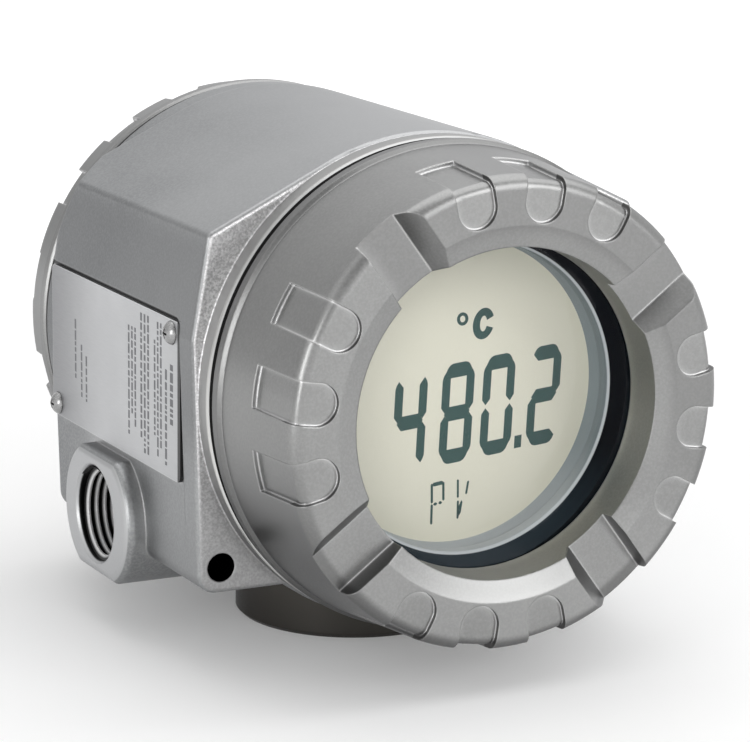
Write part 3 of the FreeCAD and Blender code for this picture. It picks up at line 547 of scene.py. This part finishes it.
def glass_finish():
    """Thick clear window that lets lamps through to the display."""
    finish = Finish("window_glass")
    smear = finish.span(finish.noise(9), 0.45, 0.75, 0.0, 0.02)
    finish.set(Base_Color=(0.985, 0.995, 0.99, 1), Transmission_Weight=1.0, IOR=1.5,
               Specular_Tint=(0.4, 0.4, 0.42, 1), Roughness=smear)
    path = finish.nodes.new("ShaderNodeLightPath")
    clear = finish.nodes.new("ShaderNodeBsdfTransparent")
    mix = finish.nodes.new("ShaderNodeMixShader")
    unseen = finish.compute("MAXIMUM", path.outputs["Is Shadow Ray"], path.outputs["Is Diffuse Ray"])
    finish.links.new(unseen, mix.inputs[0])
    finish.links.new(finish.shader.outputs[0], mix.inputs[1])
    finish.links.new(clear.outputs[0], mix.inputs[2])
    finish.links.new(mix.outputs[0], finish.nodes["Material Output"].inputs["Surface"])
    return finish.material


def moulded(name, colour, rough, grain_size=0.3, grain_depth=0.01, variation=0.12, rubbed=0.25, gloss=0.3):
    """Moulded plastic, rubber or resin: a fine texture, uneven colour and gloss, and edges rubbed paler."""
    finish = Finish(name)
    grain = finish.noise(grain_size, roughness=0.6)
    tint = finish.blend(finish.spread(finish.noise(5, 3)), [c * (1 - variation) for c in colour], colour)
    if rubbed:
        edge = finish.span(finish.near(0.4, True), 0.15, 0.6, 0.0, rubbed)
        tint = finish.blend(edge, tint, [min(1, c * 1.5 + 0.03) for c in colour])
    roughness = finish.spread(grain, rough - 0.05, rough + 0.06)
    finish.set(Base_Color=tint, Roughness=roughness, Specular_IOR_Level=gloss)
    if grain_depth:
        finish.set(Normal=finish.bump(grain, grain_depth))
    return finish.material


def retainer_finish():
    """Retaining ring: cement covers the face under the glass, the bare inner edge carries a painted
    highlight, and light is painted pooling low.
    """
    finish = Finish("window_retainer")
    y = finish.axis("Y")
    bare = finish.blend(finish.noise(5, 3), (0.19, 0.225, 0.24), (0.21, 0.245, 0.26))
    # Painted light pooling low on the ring and on its cement.
    low = finish.ramp(finish.axis("Z"), POOL_Z, 1.0, 0.0)
    bare = finish.blend(low, bare, (0.52, 0.55, 0.575))
    # Painted highlight along the bare inner edge.
    tint = finish.blend(finish.ramp(y, RETAINER_LIP_Y, 0.8, 0.0), bare, (0.6, 0.63, 0.65))
    cement = finish.blend(low, (0.002, 0.003, 0.005), (0.025, 0.038, 0.048))
    tint = finish.blend(finish.ramp(y, RETAINER_CEMENT_Y, 1.0, 0.0), tint, cement)
    finish.set(Base_Color=tint, Roughness=0.5, Specular_IOR_Level=0.0)
    return finish.material


def lcd_finish():
    """Reflective display face: warm cream with a faint grain, with painted shade greying it towards its
    edge.
    """
    finish = Finish("lcd_cream")
    grain = finish.noise(0.2, roughness=0.6)
    # Painted shade towards the display's edge.
    painted_rim_shade = finish.ramp(finish.from_line(x=0, z=AXIS_Z), LCD_RIM_R)
    tint = finish.blend(finish.spread(grain), (0.745, 0.725, 0.605), (0.775, 0.755, 0.635))
    tint = finish.blend(painted_rim_shade, tint, (0.725, 0.705, 0.58))
    finish.set(Base_Color=tint, Roughness=finish.spread(grain, 0.42, 0.5), Specular_IOR_Level=0.3)
    return finish.material


def bezel_finish():
    """Satin grey ring round the display, with a painted pool of light at its foot."""
    finish = Finish("bezel_grey")
    # Painted light pooling low.
    low = finish.ramp(finish.axis("Z"), POOL_Z, 1.0, 0.0)
    tint = finish.blend(finish.noise(5, 3), (0.2, 0.24, 0.255), (0.22, 0.26, 0.275))
    tint = finish.blend(low, tint, (0.4, 0.43, 0.455))
    finish.set(Base_Color=tint, Roughness=0.4, Specular_IOR_Level=0.3)
    return finish.material


def board_finish():
    """Lacquered circuit board with faint tracks."""
    finish = Finish("board_green")
    tracks = finish.span(finish.noise(1.4, 0, stretch=(4, 1, 1)), 0.48, 0.52)
    tint = finish.blend(tracks, (0.015, 0.1, 0.04), (0.025, 0.16, 0.065))
    finish.set(Base_Color=tint, Roughness=finish.spread(finish.noise(2), 0.25, 0.38),
               Normal=finish.bump(tracks, 0.02))
    return finish.material


FINISHES = {
    "cast_steel": housing_finish(),
    "cover_steel": cover_finish(),
    "bright_steel": turned_metal("bright_turned", (0.5, 0.51, 0.52), 0.26),
    "plate_steel": plate_finish(),
    "window_glass": glass_finish(),
    "seal_black": moulded("seal_black", (0.006, 0.008, 0.011), 0.6, grain_depth=0.0, variation=0.1,
                          rubbed=0.0, gloss=0.05),
    "lcd_cream": lcd_finish(),
    "bezel_grey": bezel_finish(),
    "case_black": moulded("case_black", (0.03, 0.03, 0.032), 0.5),
    "board_green": board_finish(),
    "potting_grey": moulded("potting_grey", (0.07, 0.07, 0.075), 0.45, grain_size=1.2, grain_depth=0.02),
    "terminal_plastic": moulded("terminal_plastic", (0.05, 0.14, 0.075), 0.45),
    "switch_white": moulded("switch_white", (0.7, 0.7, 0.67), 0.4),
    "pin_brass": turned_metal("pin_brass", (0.62, 0.45, 0.2), 0.3),
    "screw_steel": turned_metal("screw_steel", (0.48, 0.49, 0.5), 0.3),
}
RETAINER = retainer_finish()
PRINT = moulded("plate_print", (0.13, 0.132, 0.14), 0.5, grain_size=0.1, grain_depth=0.002)
INK = moulded("lcd_ink", (0.036, 0.088, 0.08), 0.5, grain_size=0.2, grain_depth=0.0, variation=0.06,
              rubbed=0.0, gloss=0.0)
CUT_THREAD = thread_finish()
SCREW_HEAD = screw_head_finish()

for part in frame["record"]["subparts"]:
    solid = frame["nodes"][part["node"]]
    solid.data.materials.clear()
    in_window = part["node"] == "window_retainer"
    solid.data.materials.append(RETAINER if in_window else FINISHES[part["material_slot"]])


def piece(name, mesh, body, material, smooth_angle=None):
    """A new object of the part, riding on a body."""
    if smooth_angle is None:
        mesh.shade_flat()
    else:
        mesh.shade_smooth()
        mesh.set_sharp_from_angle(angle=math.radians(smooth_angle))
    mesh.materials.append(material)
    thing = bpy.data.objects.new(name, mesh)
    bpy.context.scene.collection.objects.link(thing)
    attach(thing, body)
    return thing


def mesh_of(shape, name, most_corners=None):
    """Mesh of a shape with its faces turned outward, and split where they have too many corners."""
    bmesh.ops.recalc_face_normals(shape, faces=shape.faces)
    if most_corners:
        bmesh.ops.triangulate(shape, faces=[face for face in shape.faces if len(face.verts) > most_corners])
    mesh = bpy.data.meshes.new(name)
    shape.to_mesh(mesh)
    shape.free()
    return mesh


def prisms(name, outlines, base, across, up, out):
    """Mesh of flat shapes: closed prisms that stand from base along out, outlined along across and up."""
    shapes = bmesh.new()
    for outline in outlines:
        low = [shapes.verts.new((base + across * u + up * v) * MM) for u, v in outline]
        high = [shapes.verts.new(vertex.co + out * MM) for vertex in low]
        shapes.faces.new(high)
        shapes.faces.new(list(reversed(low)))
        for index in range(len(low)):
            after = (index + 1) % len(low)
            shapes.faces.new((low[index], low[after], high[after], high[index]))
    return mesh_of(shapes, name, most_corners=4)


# The reading: seven-segment digits, a degree sign with C, and two small letters
DIGIT_WIDTH = 7.35
DIGIT_HEIGHT = 20.6
UPRIGHT = 1.85
LEVEL = 2.95
DIGIT_BOTTOM = -14.9
DIGITS = (("4", -14.2), ("8", -3.45), ("0", 5.97), ("2", 16.8))
LIT = {"4": "bcfg", "8": "abcdefg", "0": "abcdef", "2": "abdeg"}
DOT = ((12.78, -14.6), (14.42, -14.6), (14.78, -12.0), (13.14, -12.0))
DEGREE_AT = (2.96, 14.53)
DEGREE_RADII = ((1.3, 1.36), (0.6, 0.68))
UNIT_AT = (7.62, 12.76)
UNIT_RADII = ((2.45, 3.2), (0.8, 1.6))
UNIT_OPENING = 22
THIN = 0.52
THINNER = 0.46
SHORT = 0.62
TOP_BAR = 0.8
SLANT = 0.14
READING_TURN = 5.2
READING_PROUD = 0.06


def digit_segments():
    """Outlines of the seven segments in a box that starts at the origin."""
    w, h, a, b = DIGIT_WIDTH, DIGIT_HEIGHT, UPRIGHT, LEVEL
    middle = h / 2
    mitre = (0.75, 1.55)
    left_low = [(0, 3.1), (0.25, 2.3), mitre, (a, b),
                (a, middle - b / 2), (0.85, middle - 0.3), (0, middle - 1.5)]
    bottom = [mitre, (1.1, 0.8), (1.6, 0.25), (2.3, 0)]
    bottom += [(w - u, v) for u, v in reversed(bottom)] + [(w - a, b), (a, b)]
    centre = [(0.7, middle), (a - 0.1, middle + b / 2), (w - a + 0.1, middle + b / 2), (w - 0.7, middle),
              (w - a + 0.1, middle - b / 2), (a - 0.1, middle - b / 2)]

    def across(points):
        return [(w - u, v) for u, v in points]

    def over(points):
        return [(u, h - v) for u, v in points]

    return {"a": over(bottom), "b": over(across(left_low)), "c": across(left_low), "d": bottom,
            "e": left_low, "f": over(left_low), "g": centre}


def arc(middle, radii, start, end, steps):
    """Points on an ellipse, by degrees anticlockwise from its right."""
    angles = [math.radians(start + (end - start) * step / steps) for step in range(steps + 1)]
    return [(middle[0] + radii[0] * math.cos(t), middle[1] + radii[1] * math.sin(t)) for t in angles]


def band(middle, radii, start, end, steps):
    """Quads between an outer and an inner arc."""
    outer, inner = (arc(middle, pair, start, end, steps) for pair in radii)
    return [(outer[i], outer[i + 1], inner[i + 1], inner[i]) for i in range(steps)]


def leaning(points, foot):
    """Points moved over by the digits' slant, the more the further they are above the foot."""
    return [(u + SLANT * (v - foot), v) for u, v in points]


def reading_outlines():
    """Outlines of all that the display shows, from the middle of its face."""
    outlines = [DOT]
    segments = digit_segments()
    lean_from = DIGIT_BOTTOM + DIGIT_HEIGHT / 2
    for digit, left in DIGITS:
        for name in LIT[digit]:
            placed = [(left + u, DIGIT_BOTTOM + v) for u, v in segments[name]]
            outlines.append(leaning(placed, lean_from))
    outlines += band(DEGREE_AT, DEGREE_RADII, 0, 360, steps=32)
    unit = band(UNIT_AT, UNIT_RADII, UNIT_OPENING, 360 - UNIT_OPENING, steps=40)
    outlines += [leaning(quad, UNIT_AT[1]) for quad in unit]
    return outlines + small_letters()


def stroke(start, end, width):
    """Bar between two points with pointed ends."""
    (x0, y0), (x1, y1) = start, end
    length = math.hypot(x1 - x0, y1 - y0)
    dx, dy = (x1 - x0) / length * width / 2, (y1 - y0) / length * width / 2
    return [(x0, y0), (x0 + dx - dy, y0 + dy + dx), (x1 - dx - dy, y1 - dy + dx),
            (x1, y1), (x1 - dx + dy, y1 - dy - dx), (x0 + dx + dy, y0 + dy - dx)]


def small_letters():
    """The letters P and V of a smaller starburst row."""
    lines = [((-6.5, -18.3), (-6.8, -22.5), THIN), ((-6.82, -22.6), (-7.3, -26.9), THIN),
             ((-6.5, -18.62), (-3.75, -18.55), TOP_BAR), ((-3.85, -18.4), (-4.15, -22.4), THIN),
             ((-6.55, -22.75), (-5.55, -22.7), SHORT), ((-5.35, -22.7), (-4.45, -22.65), SHORT),
             ((-0.52, -18.55), (-0.8, -22.5), THINNER), ((1.85, -19.3), (1.1, -22.1), THINNER),
             ((-0.82, -23.0), (-1.22, -26.9), THINNER)]
    wedge = [(-0.05, -23.1), (0.18, -23.5), (-0.35, -25.6), (-1.1, -26.6), (-0.85, -24.4)]
    return [stroke(*line) for line in lines] + [wedge]


def display_reading():
    """The reading as thin plates on the display's face, which is turned a little."""
    turn = math.radians(READING_TURN)
    across = Vector((math.cos(turn), 0, math.sin(turn)))
    up = Vector((-math.sin(turn), 0, math.cos(turn)))
    base = Vector((0, LCD_Y + READING_PROUD / 2, AXIS_Z))
    mesh = prisms("display_reading", reading_outlines(), base, across, up, Vector((0, -READING_PROUD, 0)))
    piece("display_reading", mesh, "housing", INK)


# Threads: half widths of a ridge as shares of its pitch, its sunk foot, the turns in which an end fades,
# and the steps in a turn
ROOT_HALF = 0.46
CREST_HALF = 0.1
ROOT_SUNK = 0.05
FADE_TURNS = 0.4
THREAD_STEPS = 48


def thread(name, body, material, place, axis, radius, rise, pitch, length, start):
    """Helical ridge on a round wall, fading out at both ends. A negative rise points to the axis."""
    total = int(length / pitch * THREAD_STEPS)
    side = axis.orthogonal().normalized()
    other = axis.cross(side)
    sunk = -math.copysign(ROOT_SUNK, rise)
    shape = bmesh.new()
    rows = []
    for step in range(total + 1):
        angle = 2 * math.pi * step / THREAD_STEPS
        fade = min(1, step / (THREAD_STEPS * FADE_TURNS), (total - step) / (THREAD_STEPS * FADE_TURNS))
        out = side * math.cos(angle) + other * math.sin(angle)
        forward = start + pitch * step / THREAD_STEPS
        profile = ((-ROOT_HALF * pitch, sunk), (-CREST_HALF * pitch, rise * fade),
                   (CREST_HALF * pitch, rise * fade), (ROOT_HALF * pitch, sunk))
        rows.append([shape.verts.new((place + axis * (forward + along) + out * (radius + high)) * MM)
                     for along, high in profile])
    for row, after in zip(rows, rows[1:]):
        for index in range(4):
            beside = (index + 1) % 4
            shape.faces.new((row[index], row[beside], after[beside], after[index]))
    shape.faces.new(rows[0])
    shape.faces.new(list(reversed(rows[-1])))
    piece(name, mesh_of(shape, name), body, material, smooth_angle=35)


def threads():
    """Threads of the entries and of the covers' skirts."""
    for name, side in (("left_entry_thread", -1), ("right_entry_thread", 1)):
        mouth = Vector((side * SIDE_ENTRY_X, SIDE_ENTRY_Y, SIDE_ENTRY_Z))
        thread(name, "housing", CUT_THREAD, mouth, Vector((-side, 0, 0)), ENTRY_R,
               rise=-1.0, pitch=1.85, length=14.2, start=0.9)
    thread("bottom_entry_thread", "housing", CUT_THREAD, Vector((0, 0, 0)), Vector((0, 0, 1)),
           ENTRY_R, rise=-1.0, pitch=1.85, length=9.5, start=1.2)
    for name, joint, inward in (("front_cover", FRONT_JOINT_Y, 1), ("rear_cover", REAR_JOINT_Y, -1)):
        end = Vector((0, joint + inward * SKIRT_LENGTH, AXIS_Z))
        thread(name + "_thread", name, FINISHES["cover_steel"], end, Vector((0, -inward, 0)),
               SKIRT_R, rise=0.22, pitch=2.0, length=3.6, start=1.2)


# Cross recess of the drive screws
CROSS_HALF_WIDTH = 0.24
CROSS_REACH = 1.0
CROSS_DEPTH = 0.5
CROSS_SLOPE = 0.12
HEAD_SUNK = 0.1


def drive_screws():
    """Domed heads with a small cross recess, sunk a little in the plate."""
    shape = bmesh.new()
    rings, spokes = 26, 64
    bulge = (DRIVE_HEAD_R ** 2 + DRIVE_HEAD_HEIGHT ** 2) / (2 * DRIVE_HEAD_HEIGHT)

    def height(u, v):
        dome = math.sqrt(bulge ** 2 - u * u - v * v) - (bulge - DRIVE_HEAD_HEIGHT)
        near_cross = max(min(abs(u), abs(v)) - CROSS_HALF_WIDTH, max(abs(u), abs(v)) - CROSS_REACH)
        return dome - CROSS_DEPTH * min(1, max(0, -near_cross / CROSS_SLOPE))

    for y, z in DRIVE_SCREWS:
        loops = []
        for ring in range(1, rings + 1):
            r = DRIVE_HEAD_R * ring / rings
            loop = []
            for spoke in range(spokes):
                angle = 2 * math.pi * (spoke + 0.5) / spokes
                u, v = r * math.cos(angle), r * math.sin(angle)
                loop.append(shape.verts.new(Vector((PLATE_X - height(u, v), y + u, z + v)) * MM))
            loops.append(loop)
        foot_x = (PLATE_X + HEAD_SUNK) * MM
        foot = [shape.verts.new((foot_x, vertex.co.y, vertex.co.z)) for vertex in loops[-1]]
        loops.append(foot)
        apex = shape.verts.new(Vector((PLATE_X - height(0, 0), y, z)) * MM)
        for spoke in range(spokes):
            after = (spoke + 1) % spokes
            shape.faces.new((apex, loops[0][spoke], loops[0][after]))
            for inner, outer in zip(loops, loops[1:]):
                shape.faces.new((inner[spoke], outer[spoke], outer[after], inner[after]))
        shape.faces.new(foot)
    mesh = mesh_of(shape, "drive_screws")
    heads = piece("drive_screws", mesh, "housing", SCREW_HEAD, smooth_angle=40)
    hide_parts("nameplate_screws")


def window():
    """Thick pane with a fine bevel, bedded in its seal and on its retainer."""
    front, back = GLASS_Y
    inner = GLASS_R - GLASS_EDGE
    profile = ((inner, front), (GLASS_R, front + GLASS_EDGE), (GLASS_R, back - GLASS_EDGE), (inner, back))
    spokes = 192
    angles = [2 * math.pi * spoke / spokes for spoke in range(spokes)]
    shape = bmesh.new()
    rings = []
    for r, y in profile:
        circle = [Vector((r * math.cos(t), y, AXIS_Z + r * math.sin(t))) for t in angles]
        rings.append([shape.verts.new(point * MM) for point in circle])
    for ring, after in zip(rings, rings[1:]):
        for spoke in range(spokes):
            beside = (spoke + 1) % spokes
            shape.faces.new((ring[spoke], ring[beside], after[beside], after[spoke]))
    for ring, y in ((rings[0], front), (rings[-1], back)):
        middle = shape.verts.new(Vector((0, y, AXIS_Z)) * MM)
        for spoke in range(spokes):
            shape.faces.new((ring[spoke], ring[(spoke + 1) % spokes], middle))
    mesh = mesh_of(shape, "window_pane")
    pane = piece("window_pane", mesh, "front_cover", FINISHES["window_glass"],
                 smooth_angle=30)
    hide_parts("window_glass")


# Print on the nameplate: rows of short bars that stand for no words, by place, ends and half width
PRINT_ROWS = ((-21.2, 50.0, 62.5, 0.75), (-18.4, 41.0, 61.0, 0.5), (-15.8, 44.0, 70.0, 0.4),
              (-14.2, 41.5, 70.0, 0.4), (-12.6, 46.0, 66.0, 0.4), (-9.2, 41.0, 70.3, 0.45),
              (-7.4, 41.0, 70.3, 0.45), (-5.6, 44.0, 70.3, 0.45), (-2.4, 45.5, 66.5, 0.4),
              (-0.7, 48.0, 66.5, 0.4), (1.0, 43.0, 66.5, 0.4), (24.5, 45.0, 55.0, 0.4),
              (27.2, 45.5, 57.0, 0.4), (30.6, 49.0, 62.0, 0.4))
PRINT_BAR = (0.5, 2.2)
PRINT_SPACE = (0.3, 0.5)
PRINT_PROUD = 0.03
PRINT_SEED = 11


def nameplate_print():
    """Bars of random length, down each row."""
    draw = random.Random(PRINT_SEED)
    outlines = []
    for y, low, high, width in PRINT_ROWS:
        z = high
        while z > low:
            end = max(low, z - draw.uniform(*PRINT_BAR))
            outlines.append([(y - width, z), (y + width, z), (y + width, end), (y - width, end)])
            z = end - draw.uniform(*PRINT_SPACE)
    base = Vector((PLATE_X + PRINT_PROUD / 2, 0, 0))
    mesh = prisms("nameplate_print", outlines, base, Vector((0, 1, 0)), Vector((0, 0, 1)),
                  Vector((-PRINT_PROUD, 0, 0)))
    piece("nameplate_print", mesh, "housing", PRINT)


display_reading()
threads()
drive_screws()
window()
nameplate_print()


def seen_only(finish, strength):
    """A strength for rays that see or mirror, and none for rays that only light."""
    path = finish.nodes.new("ShaderNodeLightPath")
    shown = finish.compute("MAXIMUM", path.outputs["Is Camera Ray"], path.outputs["Is Glossy Ray"])
    shown = finish.compute("MAXIMUM", shown, path.outputs["Is Transmission Ray"])
    return finish.span(shown, 0.0, 1.0, 0.0, strength)


def studio_floor():
    """Pale floor, lifted to white where it is seen or mirrored, with the object's shadow kept on it."""
    mesh = bpy.data.meshes.new("floor")
    corners = [(-FLOOR_HALF, -FLOOR_HALF, 0), (FLOOR_HALF, -FLOOR_HALF, 0),
               (FLOOR_HALF, FLOOR_HALF, 0), (-FLOOR_HALF, FLOOR_HALF, 0)]
    mesh.from_pydata(corners, [], [(0, 1, 2, 3)])
    floor = bpy.data.objects.new("floor", mesh)
    floor.location.z = FLOOR_Z
    bpy.context.scene.collection.objects.link(floor)
    finish = Finish("floor_white")
    tint = finish.blend(finish.noise(40), grey(0.88), grey(0.9))
    lift = finish.span(finish.from_line(x=0, y=0), *FLOOR_LIFT_SPREAD, *FLOOR_LIFT)
    finish.set(Base_Color=tint, Roughness=0.9, Specular_IOR_Level=0.0, Emission_Color=(1, 1, 1, 1),
               Emission_Strength=seen_only(finish, lift))
    mesh.materials.append(finish.material)


def studio_world():
    """White where it is seen or mirrored, apart from soft darker patches that shape the metal."""
    world = bpy.data.worlds.new("studio")
    bpy.context.scene.world = world
    world.use_nodes = True
    sky = Nodes(world.node_tree)
    direction = sky.nodes.new("ShaderNodeTexCoord").outputs["Generated"]
    patches = [sky.span(sky.along(Vector(middle).normalized(), direction), *spread, 1.0, level)
               for middle, spread, level in DARK_PATCHES]
    strength = sky.product(*patches)
    path = sky.nodes.new("ShaderNodeLightPath")
    for name, level in (("Is Diffuse Ray", WORLD_FILL), ("Is Camera Ray", 1.0)):
        choose = sky.nodes.new("ShaderNodeMix")
        sky.links.new(path.outputs[name], choose.inputs["Factor"])
        sky.links.new(strength, choose.inputs["A"])
        choose.inputs["B"].default_value = level
        strength = choose.outputs["Result"]
    background = sky.nodes["Background"]
    sky.links.new(strength, background.inputs["Strength"])
    background.inputs["Color"].default_value = (1, 1, 1, 1)


def softbox(name, place, size, power, mirrored):
    """Rectangular lamp that the camera doesn't see, aimed at the object."""
    lamp = bpy.data.lights.new(name, "AREA")
    lamp.shape = "RECTANGLE"
    lamp.size, lamp.size_y = size
    lamp.energy = power
    light = bpy.data.objects.new(name, lamp)
    light.location = place
    light.rotation_euler = (Vector(LAMPS_AIM) - Vector(place)).to_track_quat("-Z", "Y").to_euler()
    light.visible_camera = False
    light.visible_glossy = mirrored
    bpy.context.scene.collection.objects.link(light)


def photo_camera():
    """Camera at the photograph's angle, given by azimuth from the front, elevation and roll."""
    azimuth, elevation, roll = (math.radians(angle) for angle in (AZIMUTH, ELEVATION, ROLL))
    right = Vector((math.cos(azimuth), math.sin(azimuth), 0))
    back = Vector((math.sin(azimuth) * math.cos(elevation), -math.cos(azimuth) * math.cos(elevation),
                   math.sin(elevation)))
    up = back.cross(right)
    level = right * math.cos(roll) + up * math.sin(roll)
    upright = up * math.cos(roll) - right * math.sin(roll)
    lens = bpy.data.cameras.new("camera")
    lens.lens = LENS
    lens.sensor_width = SENSOR
    lens.sensor_fit = "HORIZONTAL"
    lens.clip_end = 50
    camera = bpy.data.objects.new("camera", lens)
    camera.matrix_world = Matrix((level, upright, back)).transposed().to_4x4()
    camera.location = (Vector(TARGET) + back * DISTANCE) * MM
    bpy.context.scene.collection.objects.link(camera)
    bpy.context.scene.camera = camera


studio_floor()
studio_world()
for name, settings in SOFTBOXES.items():
    softbox(name, *settings)
photo_camera()
bpy.context.scene.view_settings.view_transform = "Standard"
